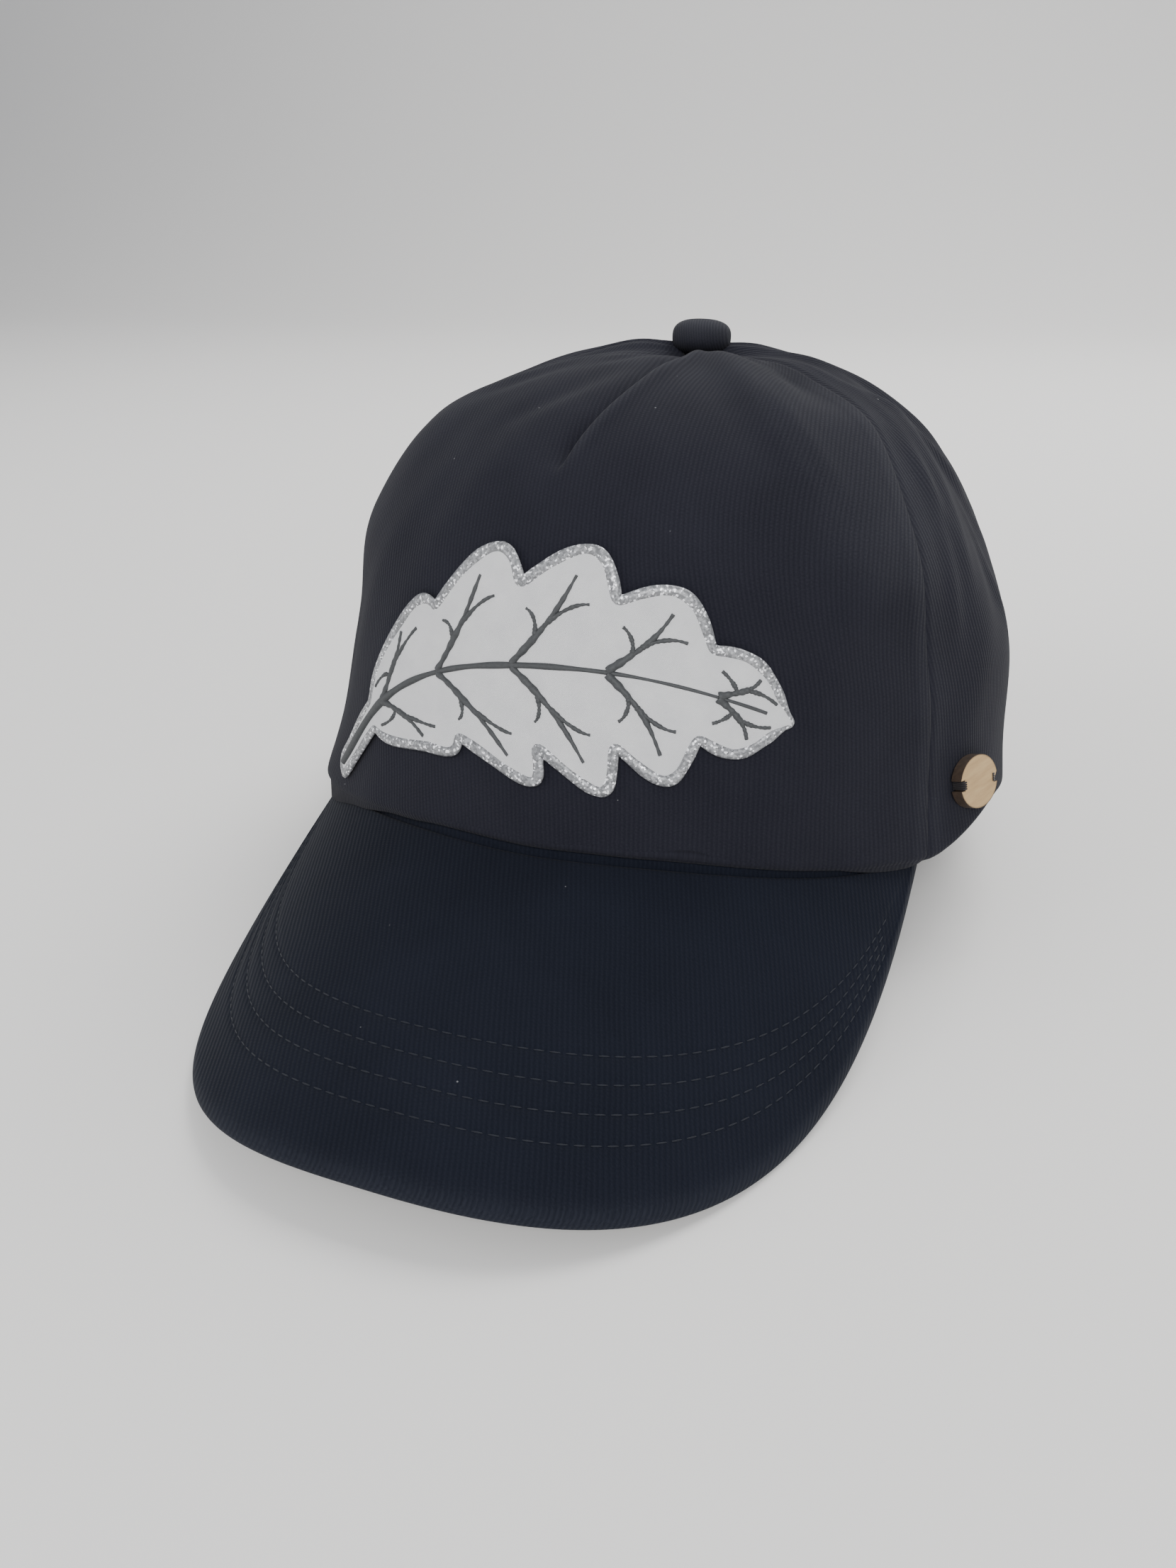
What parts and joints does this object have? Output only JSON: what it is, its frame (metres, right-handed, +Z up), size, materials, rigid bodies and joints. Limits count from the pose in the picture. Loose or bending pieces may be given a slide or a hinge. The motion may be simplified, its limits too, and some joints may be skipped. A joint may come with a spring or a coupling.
{
  "type": "baseball cap",
  "caption": "Soft cotton-twill baseball cap with a curved peak, sewn crown panels, covered button, leaf appliqué, wooden tag and an open arched back with a strap.",
  "frame": {"origin": "on the table under the middle of the cap's box, with the cap resting on its peak and the back of its rim", "axes": "+Z up from the table, -Y towards the peak, +X towards the wearer's left"},
  "size_m": [0.1822, 0.2754, 0.1367],
  "materials": {
    "twill": "washed navy cotton twill",
    "peak_twill": "navy cotton twill, stitched in rows",
    "pale_cloth": "white cotton with a glitter edge",
    "wood": "bare pale plywood with a scorched edge"
  },
  "bodies": {
    "root": {"front_panel": "twill", "left_side_panel": "twill", "left_back_panel": "twill", "right_back_panel": "twill", "right_side_panel": "twill", "peak": "peak_twill", "back_strap": "twill", "top_button": "twill", "leaf_patch": "pale_cloth", "wood_tag": "wood"}
  },
  "joints": []
}
